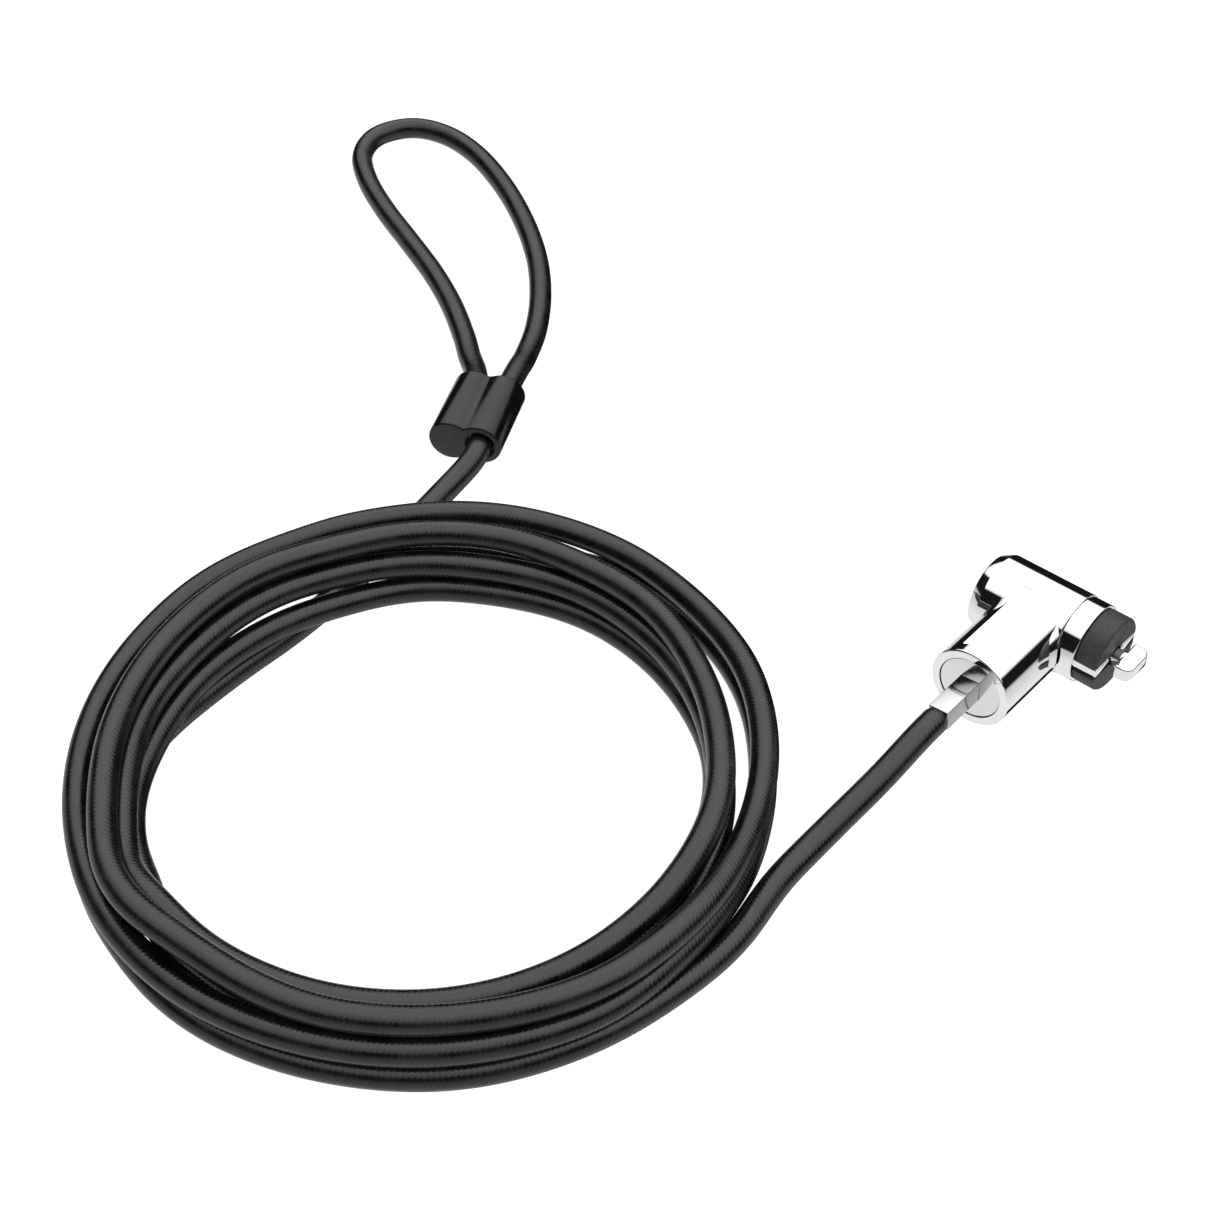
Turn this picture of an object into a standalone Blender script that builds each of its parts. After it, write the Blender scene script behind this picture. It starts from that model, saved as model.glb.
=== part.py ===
"""Laptop cable lock: a chrome T-bar lock head on a coiled, vinyl-jacketed steel cable with a crimped end loop.

Frame: metres, +Z up, the table at z = 0. The T-bar points along +X and the cable leaves the head along -Y.
The origin is on the table, at the middle of the head's own box (the cable, its sleeve and its loop left out).
All constants are in millimetres and are turned into metres by MM.
"""

import math

import bmesh
import bpy
from mathutils import Matrix, Vector

MM = 0.001
STEPS = 40  # facets on the large turned pieces
FINE = 28  # facets on the small turned pieces

# ---- driving dimensions (mm) -------------------------------------------------
BARREL_R = 7.0  # lock barrel (along X) and cable barrel (along Y)
AXIS_X, AXIS_Y, AXIS_Z = -3.55, 11.45, 7.0  # where the two barrel axes meet

REAR_X = -10.6  # key end of the lock barrel, from the meeting point
FRONT_X = 5.8  # front end of the lock barrel
BORE_R = 5.6
BORE_END_X = 3.4
FLAT_HALF_WIDTH = 3.25  # flats on the top and underside of the cable barrel
FLAT_Z = 6.2
FLAT_END = 19.4
CABLE_FACE = 21.4  # end face of the cable barrel, along -Y
SWIVEL_BORE_R = 5.55
SWIVEL_BORE_END = 13.7

NOSE_R, NOSE_X0, NOSE_X1 = 6.8, 6.1, 9.3
PAD_R, PAD_X0, PAD_X1 = 6.4, 9.6, 13.3
PRONG_IN, PRONG_OUT, PRONG_HALF = 2.0, 5.9, 0.8
SHAFT_R = 1.4
TBAR_X0, TBAR_X1, TBAR_W, TBAR_T = 14.7, 17.7, 6.6, 2.6  # enters a 3 x 7 mm security slot

CORE_R, CORE_BORE_R = 3.8, 2.9
CORE_X0, CORE_X1, CORE_WALL_X = -10.3, 1.2, -9.3
SLEEVE_R, SLEEVE_BORE_R, SLEEVE_X0, SLEEVE_X1 = 5.3, 4.1, -9.4, 3.1
DISC_R, DISC_T, DISC_PITCH, DISC_X0, DISCS = 2.6, 1.3, 1.6, -8.9, 5
SIDEBAR_HALF, SIDEBAR_R0, SIDEBAR_R1 = 0.4, 2.75, 3.75
SIDEBAR_X0, SIDEBAR_X1 = -8.8, -1.3

TERMINAL_HALF, TERMINAL_ROLL = 1.75, -6.0  # square cable terminal, turned a little in its swivel (degrees)
TERMINAL_END = 29.9
STEM_R = 1.5

CABLE_D = 4.4
COIL_X, COIL_Y = -57.7, -74.8  # centre of the coil on the table
COIL_R_IN, COIL_R_OUT, COIL_H = 33.8, 59.0, 17.8

SLEEVE_X, SLEEVE_Y, SLEEVE_TURN = -108.2, -15.3, 117.0  # near end of the crimp sleeve, and its direction
CRIMP_LEN, CRIMP_LOBE_R, CRIMP_HALF_SEP = 16.4, 3.9, 2.9
CRIMP_Z = 3.9
GAP = 0.3


# ---- scene and helpers ---------------------------------------------------------
for old in list(bpy.data.objects):
    bpy.data.objects.remove(old, do_unlink=True)

parts = bpy.data.collections.new("laptop_cable_lock")
cutters = bpy.data.collections.new("cutters")
bpy.context.scene.collection.children.link(parts)
bpy.context.scene.collection.children.link(cutters)

CENTRE = Vector((AXIS_X, AXIS_Y, AXIS_Z)) * MM
ALONG_X = Matrix.Rotation(math.radians(90), 4, "Y")  # local +Z becomes +X
ALONG_MINUS_Y = Matrix.Rotation(math.radians(90), 4, "X")  # local +Z becomes -Y
UPRIGHT = Matrix.Identity(4)


def material(name, colour, metallic, roughness):
    mat = bpy.data.materials.new(name)
    mat.use_nodes = True
    shader = mat.node_tree.nodes["Principled BSDF"]
    shader.inputs["Base Color"].default_value = (*colour, 1)
    shader.inputs["Metallic"].default_value = metallic
    shader.inputs["Roughness"].default_value = roughness
    mat.diffuse_color = (*colour, 1)
    return mat


CHROME = ("chrome", (0.86, 0.86, 0.87), 1.0, 0.06)
STEEL = ("steel", (0.62, 0.62, 0.64), 1.0, 0.25)
BRASS = ("brass", (0.78, 0.62, 0.30), 1.0, 0.3)
RUBBER = ("rubber_pad", (0.03, 0.03, 0.03), 0.0, 0.55)
JACKET = ("cable_jacket", (0.02, 0.02, 0.02), 0.0, 0.35)
GLOSS = ("sleeve_plastic", (0.01, 0.01, 0.01), 0.0, 0.12)


def place(obj, look, origin=CENTRE, turn=UPRIGHT, smooth=True):
    """Puts a piece in the parts collection with its own material, at its origin and direction."""
    parts.objects.link(obj)
    obj.matrix_world = Matrix.Translation(origin) @ turn
    name, colour, metallic, roughness = look
    obj.data.materials.append(material(obj.name + "_" + name, colour, metallic, roughness))
    if smooth and obj.type == "MESH":
        obj.data.shade_smooth()
        obj.data.set_sharp_from_angle(angle=math.radians(35))
    return obj


def cutter(obj, origin=CENTRE, turn=UPRIGHT):
    cutters.objects.link(obj)
    obj.matrix_world = Matrix.Translation(origin) @ turn
    obj.hide_render = True
    obj.display_type = "WIRE"
    return obj


def boolean(obj, other, operation="DIFFERENCE"):
    mod = obj.modifiers.new(operation.lower() + "_" + other.name, "BOOLEAN")
    mod.operation = operation
    mod.solver = "EXACT"
    mod.object = other


def box(name, x0, x1, y0, y1, z0, z1):
    """A box between two corners, in millimetres from the piece's origin."""
    mesh = bpy.data.meshes.new(name)
    bm = bmesh.new()
    bmesh.ops.create_cube(bm, size=1.0)
    size = Vector((x1 - x0, y1 - y0, z1 - z0)) * MM
    middle = Vector((x0 + x1, y0 + y1, z0 + z1)) * MM / 2
    bmesh.ops.scale(bm, vec=size, verts=bm.verts)
    bmesh.ops.translate(bm, vec=middle, verts=bm.verts)
    bm.to_mesh(mesh)
    bm.free()
    return bpy.data.objects.new(name, mesh)


def prism(name, outline, x0, x1):
    """A closed prism along X from a (y, z) outline, in millimetres from the piece's origin."""
    mesh = bpy.data.meshes.new(name)
    bm = bmesh.new()
    rows = [[bm.verts.new((x * MM, y * MM, z * MM)) for y, z in outline] for x in (x0, x1)]
    for k in range(len(outline)):
        n = (k + 1) % len(outline)
        bm.faces.new((rows[0][k], rows[0][n], rows[1][n], rows[1][k]))
    bm.faces.new(rows[0])
    bm.faces.new(rows[1])
    bmesh.ops.recalc_face_normals(bm, faces=bm.faces)
    bm.to_mesh(mesh)
    bm.free()
    return bpy.data.objects.new(name, mesh)


def rod(name, radius, t0, t1, offset=(0, 0), segments=FINE):
    """A plain round rod along local Z, from t0 to t1."""
    mesh = bpy.data.meshes.new(name)
    bm = bmesh.new()
    bmesh.ops.create_cone(
        bm, cap_ends=True, segments=segments, radius1=radius * MM, radius2=radius * MM, depth=(t1 - t0) * MM
    )
    bmesh.ops.translate(bm, vec=Vector((offset[0], offset[1], (t0 + t1) / 2)) * MM, verts=bm.verts)
    bm.to_mesh(mesh)
    bm.free()
    return bpy.data.objects.new(name, mesh)


def turned(name, profile, ring=False, steps=STEPS):
    """A turned piece about local Z. The profile is (height, radius) points, down the outer side from the top."""
    mesh = bpy.data.meshes.new(name)
    bm = bmesh.new()
    points = [bm.verts.new((r * MM, 0, t * MM)) for t, r in profile]
    for first, second in zip(points, points[1:]):
        bm.edges.new((first, second))
    if ring:
        bm.edges.new((points[-1], points[0]))
    bm.to_mesh(mesh)
    bm.free()
    obj = bpy.data.objects.new(name, mesh)
    screw = obj.modifiers.new("turn", "SCREW")
    screw.axis = "Z"
    screw.steps = steps
    screw.render_steps = steps
    screw.use_merge_vertices = True
    screw.merge_threshold = 0.00001
    return obj


def tube(name, route, radius):
    """A round cable along a list of points in millimetres, closed at both ends."""
    curve = bpy.data.curves.new(name, "CURVE")
    curve.dimensions = "3D"
    curve.bevel_depth = radius * MM
    curve.bevel_resolution = 2
    curve.use_fill_caps = True
    spline = curve.splines.new("POLY")
    spline.points.add(len(route) - 1)
    for point, (x, y, z) in zip(spline.points, route):
        point.co = (x * MM, y * MM, z * MM, 1)
    return bpy.data.objects.new(name, curve)


def smooth_route(controls, spacing):
    """Points at an even spacing along one smooth curve through the control points."""
    pts = [Vector(p) for p in controls]
    ends = [2 * pts[0] - pts[1]] + pts + [2 * pts[-1] - pts[-2]]
    fine = []
    for a, b, c, d in zip(ends, ends[1:], ends[2:], ends[3:]):
        for k in range(24):
            t = k / 24
            fine.append(
                0.5 * ((2 * b) + (c - a) * t + (2 * a - 5 * b + 4 * c - d) * t * t + (3 * b - a - 3 * c + d) * t**3)
            )
    fine.append(pts[-1])
    total = sum((q - p).length for p, q in zip(fine, fine[1:]))
    count = max(2, round(total / spacing))
    wanted = [total * k / count for k in range(count + 1)]
    out, run, k = [], 0.0, 0
    for p, q in zip(fine, fine[1:]):
        step = (q - p).length
        while k < len(wanted) and wanted[k] <= run + step + 1e-9:
            out.append(p.lerp(q, (wanted[k] - run) / step if step else 0))
            k += 1
        run += step
    while len(out) < count + 1:
        out.append(pts[-1])
    return [tuple(p) for p in out]


# ---- lock head: fixed pieces ---------------------------------------------------
# Die-cast T housing: the lock barrel along X, the cable barrel along -Y, flats on the cable barrel.
housing = turned(
    "lock_housing",
    [
        (FRONT_X, 0),
        (FRONT_X, BARREL_R - 0.25),
        (FRONT_X - 0.25, BARREL_R),
        (REAR_X + 1.9, BARREL_R),
        (REAR_X + 0.3, BARREL_R - 0.8),
        (REAR_X, BARREL_R - 1.1),
        (REAR_X, 0),
    ],
)
place(housing, CHROME, turn=ALONG_X)
cable_barrel = turned(
    "cable_barrel",
    [(CABLE_FACE, 0), (CABLE_FACE, BARREL_R - 0.3), (CABLE_FACE - 0.3, BARREL_R), (1.0, BARREL_R), (1.0, 0)],
)
boolean(housing, cutter(cable_barrel, turn=ALONG_MINUS_Y), "UNION")
for side, name in ((1, "flat_top"), (-1, "flat_under")):
    # each flat runs out in a shallow ramp on the lock barrel's crown
    outline = [(-FLAT_END, FLAT_Z), (-3.4, FLAT_Z), (1.2, BARREL_R - 0.1), (1.2, 9.0), (-FLAT_END, 9.0)]
    flat = prism(name, [(y, side * z) for y, z in outline], -FLAT_HALF_WIDTH, FLAT_HALF_WIDTH)
    boolean(housing, cutter(flat))
boolean(housing, cutter(rod("spot_face", BARREL_R + 0.3, FRONT_X, 9.5, segments=STEPS), turn=ALONG_X))
boolean(housing, cutter(rod("lock_bore", BORE_R, -14, BORE_END_X, segments=STEPS), turn=ALONG_X))
boolean(housing, cutter(rod("spindle_bore", 2.8, 0, 8), turn=ALONG_X))
boolean(housing, cutter(rod("swivel_bore", SWIVEL_BORE_R, SWIVEL_BORE_END, 25, segments=STEPS), turn=ALONG_MINUS_Y))
boolean(housing, cutter(rod("stem_bore", 3.4, 10.6, 16), turn=ALONG_MINUS_Y))
boolean(housing, cutter(rod("bush_pin_hole", 1.0, -8, -4, (0, -16.6), 16)))
for z in (4.3, -4.3):
    # local X of a piece turned along X points down, so the offset's sign is reversed
    hole = rod("dowel_hole_%s" % ("top" if z > 0 else "under"), 0.8, 3.7, 7, (-z, 0), 16)
    boolean(housing, cutter(hole, turn=ALONG_X))

# Chrome nose ring with the two guide prongs that stop the head from turning in the slot.
nose = turned(
    "nose_ring",
    [
        (NOSE_X1, 0),
        (NOSE_X1, NOSE_R - 0.25),
        (NOSE_X1 - 0.25, NOSE_R),
        (NOSE_X0 + 0.25, NOSE_R),
        (NOSE_X0, NOSE_R - 0.25),
        (NOSE_X0, 0),
    ],
)
place(nose, CHROME, turn=ALONG_X)
for side in (-1, 1):
    y0, y1 = sorted((side * PRONG_IN, side * PRONG_OUT))
    prong = box("prong_%s" % ("left" if side > 0 else "right"), 8.5, PAD_X1, y0, y1, -PRONG_HALF, PRONG_HALF)
    boolean(nose, cutter(prong), "UNION")
boolean(nose, cutter(rod("nose_bore", SHAFT_R + 0.35, 5, 14), turn=ALONG_X))
for z in (4.3, -4.3):
    hole = rod("nose_hole_%s" % ("top" if z > 0 else "under"), 0.8, 5, 8.4, (-z, 0), 16)
    boolean(nose, cutter(hole, turn=ALONG_X))
    pin = rod("dowel_pin_%s" % ("top" if z > 0 else "under"), 0.5, 4.0, 8.1, (-z, 0), 12)
    place(pin, STEEL, turn=ALONG_X)

# Two half-round rubber pads that face the laptop, one above and one below the prongs.
for side, name in ((1, "rubber_pad_upper"), (-1, "rubber_pad_lower")):
    pad = turned(
        name,
        [
            (PAD_X1, 1.8),
            (PAD_X1, PAD_R - 0.5),
            (PAD_X1 - 0.5, PAD_R),
            (PAD_X0, PAD_R),
            (PAD_X0, 1.8),
        ],
        ring=True,
    )
    place(pad, RUBBER, turn=ALONG_X)
    low, high = sorted((side * (PRONG_HALF + GAP), -side * 9.0))
    boolean(pad, cutter(box(name + "_half", 8, 15, -9, 9, low, high)))

# Steel sleeve that holds the core, with two lengthways grooves for the sidebar.
sleeve = turned(
    "cylinder_sleeve",
    [(SLEEVE_X1, SLEEVE_BORE_R), (SLEEVE_X1, SLEEVE_R), (SLEEVE_X0, SLEEVE_R), (SLEEVE_X0, SLEEVE_BORE_R)],
    ring=True,
)
place(sleeve, BRASS, turn=ALONG_X)
boolean(sleeve, cutter(box("groove_top", -9.1, -1.0, -0.8, 0.8, 3.6, 4.75)))
boolean(sleeve, cutter(box("groove_side", -9.1, -1.0, -4.75, -3.6, -0.8, 0.8)))

bezel = turned("rear_bezel", [(-9.7, 4.1), (-9.7, 5.3), (-10.25, 5.3), (-10.5, 5.05), (-10.5, 4.1)], ring=True)
place(bezel, CHROME, turn=ALONG_X)

bushing = turned("spindle_bushing", [(5.7, 1.75), (5.7, 2.5), (3.5, 2.5), (3.5, 1.75)], ring=True, steps=FINE)
place(bushing, BRASS, turn=ALONG_X)

# ---- lock head: turning with the key -------------------------------------------
core = turned(
    "lock_core",
    [
        (CORE_X1, CORE_BORE_R),
        (CORE_X1, CORE_R),
        (CORE_X0 + 0.2, CORE_R),
        (CORE_X0, CORE_R - 0.2),
        (CORE_X0, 0),
    ]
    + [(CORE_WALL_X, 0), (CORE_WALL_X, CORE_BORE_R)],
    ring=False,
)
# the profile's last point closes on the first, across the open end of the bore
core_profile = core.data
bm = bmesh.new()
bm.from_mesh(core_profile)
bm.verts.ensure_lookup_table()
bm.edges.ensure_lookup_table()
for edge in [e for e in bm.edges if {v.index for v in e.verts} == {4, 5}]:
    bm.edges.remove(edge)
bm.edges.new((bm.verts[6], bm.verts[0]))
bm.to_mesh(core_profile)
bm.free()
place(core, BRASS, turn=ALONG_X)
boolean(core, cutter(box("keyway", -11, -9, -0.75, 0.75, -2.3, 2.3)))
boolean(core, cutter(box("sidebar_slot", -9.1, -1.0, -0.65, 0.65, 2.2, 4.5)))
boolean(core, cutter(box("dog_slot", 0.3, 2.0, -4.5, 4.5, -1.0, 1.0)))

spindle = turned(
    "t_bar_spindle",
    [(TBAR_X0 + 0.5, 0), (TBAR_X0 + 0.5, SHAFT_R), (2.6, SHAFT_R), (2.6, CORE_R), (1.5, CORE_R), (1.5, 0)],
    steps=FINE,
)
place(spindle, CHROME, turn=ALONG_X)
dog = box("spindle_dog", 0.6, 1.9, -3.5, 3.5, -0.7, 0.7)
boolean(spindle, cutter(dog), "UNION")
tbar = box("t_bar_head", TBAR_X0, TBAR_X1, -TBAR_W / 2, TBAR_W / 2, -TBAR_T / 2, TBAR_T / 2)
round_off = tbar.modifiers.new("round", "BEVEL")
round_off.width = 0.7 * MM
round_off.segments = 3
round_off.limit_method = "ANGLE"
boolean(spindle, cutter(tbar), "UNION")

for k in range(DISCS):
    x0 = DISC_X0 + k * DISC_PITCH
    disc = rod("disc_tumbler_%d" % (k + 1), DISC_R, x0, x0 + DISC_T, segments=FINE)
    place(disc, BRASS, turn=ALONG_X)
    boolean(disc, cutter(box("key_hole_%d" % (k + 1), x0 - 1, x0 + 3, -0.7, 0.7, -1.7, 1.7)))
    boolean(disc, cutter(box("gate_%d" % (k + 1), x0 - 1, x0 + 3, -0.65, 0.65, 2.05, 4)))

sidebar = box("sidebar", SIDEBAR_X0, SIDEBAR_X1, -SIDEBAR_HALF, SIDEBAR_HALF, SIDEBAR_R0, SIDEBAR_R1)
place(sidebar, STEEL, smooth=False)
edge = sidebar.modifiers.new("edge", "BEVEL")
edge.width = 0.15 * MM
edge.segments = 1

spring_route = []
for k in range(37):
    angle = 2 * math.pi * k / 14
    spring_route.append((-0.7 + 0.95 * k / 36, 2.2 * math.cos(angle), 2.2 * math.sin(angle)))
spring = tube("disc_spring", spring_route, 0.17)
place(spring, STEEL)

# ---- cable swivel --------------------------------------------------------------
swivel = turned(
    "swivel_disc",
    [(CABLE_FACE - 0.15, 0), (CABLE_FACE - 0.15, 5.1), (CABLE_FACE - 0.3, 5.25), (CABLE_FACE - 1.9, 5.25)]
    + [(CABLE_FACE - 1.9, 0)],
)
place(swivel, CHROME, turn=ALONG_MINUS_Y)
rolled = Matrix.Rotation(math.radians(TERMINAL_ROLL), 4, "Y")
hole_half = TERMINAL_HALF + GAP
boolean(swivel, cutter(box("square_hole", -hole_half, hole_half, -25, -17, -hole_half, hole_half), turn=rolled))

terminal = box(
    "cable_terminal", -TERMINAL_HALF, TERMINAL_HALF, -TERMINAL_END, -19.4, -TERMINAL_HALF, TERMINAL_HALF
)
place(terminal, CHROME, turn=rolled, smooth=False)
chamfer = terminal.modifiers.new("chamfer", "BEVEL")
chamfer.width = 0.2 * MM
chamfer.segments = 1
boolean(terminal, cutter(rod("terminal_stem", STEM_R, 11.2, 20.5), turn=ALONG_MINUS_Y), "UNION")

bush = turned("swivel_bush", [(19.2, 1.85), (19.2, 5.25), (14.0, 5.25), (14.0, 1.85)], ring=True)
place(bush, BRASS, turn=ALONG_MINUS_Y)
boolean(bush, cutter(rod("bush_hole", 1.0, -8, -2.9, (0, -16.6), 16)))
pin = rod("bush_pin", 0.7, -6.1, -3.2, (0, -16.6), 12)
place(pin, STEEL)
clip = turned("swivel_clip", [(13.2, 1.8), (13.2, 3.05), (12.4, 3.05), (12.4, 1.8)], ring=True, steps=FINE)
place(clip, STEEL, turn=ALONG_MINUS_Y)

# ---- cable ---------------------------------------------------------------------
R = CABLE_D / 2
exit_y = AXIS_Y - TERMINAL_END - GAP
lead_controls = [
    (AXIS_X, exit_y, AXIS_Z),
    (AXIS_X, exit_y - 4.5, AXIS_Z - 0.25),
    (AXIS_X - 0.1, exit_y - 10.0, AXIS_Z - 1.3),
    (AXIS_X - 0.35, exit_y - 16.0, AXIS_Z - 2.6),
    (AXIS_X - 0.7, exit_y - 22.0, AXIS_Z - 3.5),
    (AXIS_X - 0.9, exit_y - 25.6, AXIS_Z - 4.1),
]
place(tube("cable_lead", smooth_route(lead_controls, 5.5), R), JACKET, origin=Vector())

coil = turned(
    "cable_coil",
    [
        (COIL_H, COIL_R_IN + 3.0),
        (COIL_H, COIL_R_OUT - 4.0),
        (COIL_H - 4.0, COIL_R_OUT),
        (0, COIL_R_OUT),
        (0, COIL_R_IN),
        (COIL_H - 3.0, COIL_R_IN),
    ],
    ring=True,
    steps=64,
)
place(coil, JACKET, origin=Vector((COIL_X, COIL_Y, 0)) * MM)

# Crimp sleeve: two joined lobes, extruded along the cable.
outline = []
for k in range(13):
    angle = math.radians(60 + 20 * k)
    outline.append((-CRIMP_HALF_SEP + CRIMP_LOBE_R * math.cos(angle), CRIMP_LOBE_R * math.sin(angle)))
for k in range(13):
    angle = math.radians(-120 + 20 * k)
    outline.append((CRIMP_HALF_SEP + CRIMP_LOBE_R * math.cos(angle), CRIMP_LOBE_R * math.sin(angle)))
flat = bpy.data.curves.new("crimp_sleeve", "CURVE")
flat.dimensions = "2D"
flat.fill_mode = "BOTH"
flat.extrude = CRIMP_LEN / 2 * MM
spline = flat.splines.new("POLY")
spline.points.add(len(outline) - 1)
spline.use_cyclic_u = True
for point, (u, v) in zip(spline.points, outline):
    point.co = (u * MM, v * MM, 0, 1)
turn = math.radians(SLEEVE_TURN)
forward = Vector((math.cos(turn), math.sin(turn), 0))
across = Vector((math.sin(turn), -math.cos(turn), 0))
sleeve_start = Vector((SLEEVE_X, SLEEVE_Y, CRIMP_Z))
sleeve_frame = Matrix((across, Vector((0, 0, 1)), -forward)).transposed().to_4x4()
place(
    bpy.data.objects.new("crimp_sleeve", flat),
    GLOSS,
    origin=(sleeve_start + forward * CRIMP_LEN / 2) * MM,
    turn=sleeve_frame,
)


def beside(lobe, ahead, height=CRIMP_Z):
    """A point `ahead` of the sleeve's near end, on the line of one lobe (+1 right, -1 left)."""
    p = sleeve_start + across * lobe * CRIMP_HALF_SEP + forward * ahead
    return (p.x, p.y, height)


far = CRIMP_LEN + GAP
loop_controls = [
    beside(1, far + 2.5),
    beside(1, far + 7, 3.4),
    beside(1, far + 13, 2.4),
    (-124.2, 21.0, R + 0.05),
    (-131.2, 29.8, R + 0.05),
    (-140.2, 38.6, R + 0.05),
    (-151.4, 46.9, R + 0.05),
    (-164.0, 54.2, R + 0.05),
    (-177.0, 59.6, R + 0.05),
    (-188.0, 61.3, R + 0.05),
    (-196.0, 58.6, R + 0.05),
    (-199.3, 51.2, R + 0.05),
    (-196.0, 43.4, R + 0.05),
    (-187.6, 36.9, R + 0.05),
    (-176.4, 31.2, R + 0.05),
    (-164.2, 26.2, R + 0.05),
    (-152.6, 21.3, R + 0.05),
    (-142.2, 15.9, R + 0.05),
    (-132.8, 9.8, R + 0.05),
    (-127.2, 5.6, 2.45),
    (-122.5, 2.3, 3.0),
    beside(-1, far + 1.4),
]
loop_route = [beside(1, far)] + smooth_route(loop_controls, 8.4) + [beside(-1, far)]
place(tube("cable_loop", loop_route, R), JACKET, origin=Vector())
tail_controls = [
    beside(1, -GAP - 1.5),
    beside(1, -GAP - 4.5, 3.5),
    (-104.0, -21.0, 2.6),
    (-103.0, -26.6, R + 0.05),
    (-101.9, -31.8, R + 0.05),
]
tail_route = [beside(1, -GAP)] + smooth_route(tail_controls, 4.6)
place(tube("cable_tail", tail_route, R), JACKET, origin=Vector())
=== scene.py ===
import math

import bmesh
import bpy
import numpy as np
from mathutils import Matrix, Vector


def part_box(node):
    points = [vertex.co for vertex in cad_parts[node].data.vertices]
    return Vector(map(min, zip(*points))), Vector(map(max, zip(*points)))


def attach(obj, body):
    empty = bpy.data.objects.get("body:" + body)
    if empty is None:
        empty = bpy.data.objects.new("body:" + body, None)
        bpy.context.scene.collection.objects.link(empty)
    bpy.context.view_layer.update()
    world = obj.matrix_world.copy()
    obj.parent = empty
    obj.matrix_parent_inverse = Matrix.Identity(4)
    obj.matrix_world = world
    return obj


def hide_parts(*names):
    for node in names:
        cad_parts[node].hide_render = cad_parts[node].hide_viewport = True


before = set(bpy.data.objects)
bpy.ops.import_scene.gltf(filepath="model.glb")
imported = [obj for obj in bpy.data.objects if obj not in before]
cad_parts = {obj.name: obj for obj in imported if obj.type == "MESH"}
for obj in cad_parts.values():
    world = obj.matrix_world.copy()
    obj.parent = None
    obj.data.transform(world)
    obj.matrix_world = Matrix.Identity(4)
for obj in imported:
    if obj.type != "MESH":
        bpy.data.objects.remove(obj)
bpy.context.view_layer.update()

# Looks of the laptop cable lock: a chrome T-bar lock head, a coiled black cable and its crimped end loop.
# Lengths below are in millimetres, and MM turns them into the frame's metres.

MM = 0.001
scene = bpy.context.scene
scene.view_settings.view_transform = "Standard"
scene.view_settings.look = "None"

# The meeting point of the two barrel axes, from the housing's own box: the cable barrel reaches 7 mm to the side of it,
# and the barrels reach 7 mm behind and above it.
low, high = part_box("lock_housing")
CENTRE = Vector((high.x / MM - 7.0, high.y / MM - 7.0, high.z / MM - 7.0))


# ---- camera ----------------------------------------------------------------------
camera_data = bpy.data.cameras.new("camera")
camera = bpy.data.objects.new("camera", camera_data)
scene.collection.objects.link(camera)
camera.location = (0.104785, -0.218857, 0.237312)
camera.rotation_euler = (math.radians(47), 0, math.radians(41.3))
camera_data.sensor_width = 36
camera_data.lens = 61.6
camera_data.clip_start = 0.01
camera_data.clip_end = 20
scene.camera = camera


# ---- node helpers ------------------------------------------------------------------
class Graph:
    """Short names for the shader nodes that the materials are made of."""

    def __init__(self, tree):
        self.tree = tree
        self.column = 0

    def node(self, kind, **settings):
        made = self.tree.nodes.new(kind)
        self.column += 1
        made.location = (-1400 + 40 * self.column, -30 * self.column)
        for name, value in settings.items():
            setattr(made, name, value)
        return made

    def put(self, socket, value):
        if isinstance(value, bpy.types.NodeSocket):
            self.tree.links.new(value, socket)
        else:
            socket.default_value = value

    def math(self, operation, *values, clamp=False):
        made = self.node("ShaderNodeMath", operation=operation, use_clamp=clamp)
        for socket, value in zip(made.inputs, values):
            self.put(socket, value)
        return made.outputs[0]

    def ramp(self, value, low, high, out_low=0.0, out_high=1.0, smooth=True):
        made = self.node("ShaderNodeMapRange", interpolation_type="SMOOTHSTEP" if smooth else "LINEAR")
        for name, given in (
            ("Value", value),
            ("From Min", low),
            ("From Max", high),
            ("To Min", out_low),
            ("To Max", out_high),
        ):
            self.put(made.inputs[name], given)
        return made.outputs["Result"]

    def mix(self, factor, first, second):
        """Between two numbers: first where factor is 0."""
        return self.math(
            "ADD", self.math("MULTIPLY", self.math("SUBTRACT", 1.0, factor), first), self.math("MULTIPLY", factor, second)
        )

    def colours(self, factor, first, second):
        made = self.node("ShaderNodeMix", data_type="RGBA", clamp_factor=True)
        self.put(made.inputs[0], factor)
        self.put(made.inputs[6], (*first, 1.0))
        self.put(made.inputs[7], (*second, 1.0))
        return made.outputs[2]

    def place(self, scale=(1, 1, 1), turn=(0, 0, 0), by="Object"):
        where = self.node("ShaderNodeTexCoord")
        mapping = self.node("ShaderNodeMapping")
        self.tree.links.new(where.outputs[by], mapping.inputs["Vector"])
        mapping.inputs["Scale"].default_value = scale
        mapping.inputs["Rotation"].default_value = turn
        return mapping.outputs["Vector"]

    def noise(self, vector, scale, detail=3.0, rough=0.5):
        made = self.node("ShaderNodeTexNoise")
        self.tree.links.new(vector, made.inputs["Vector"])
        made.inputs["Scale"].default_value = scale
        made.inputs["Detail"].default_value = detail
        made.inputs["Roughness"].default_value = rough
        return made.outputs["Fac"]

    def bump(self, height, distance, strength=1.0, under=None):
        made = self.node("ShaderNodeBump")
        made.inputs["Strength"].default_value = strength
        made.inputs["Distance"].default_value = distance
        self.tree.links.new(height, made.inputs["Height"])
        if under is not None:
            self.tree.links.new(under, made.inputs["Normal"])
        return made.outputs["Normal"]


def new_material(name):
    made = bpy.data.materials.new(name)
    made.use_nodes = True
    graph = Graph(made.node_tree)
    shader = made.node_tree.nodes["Principled BSDF"]
    return made, graph, shader


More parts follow.
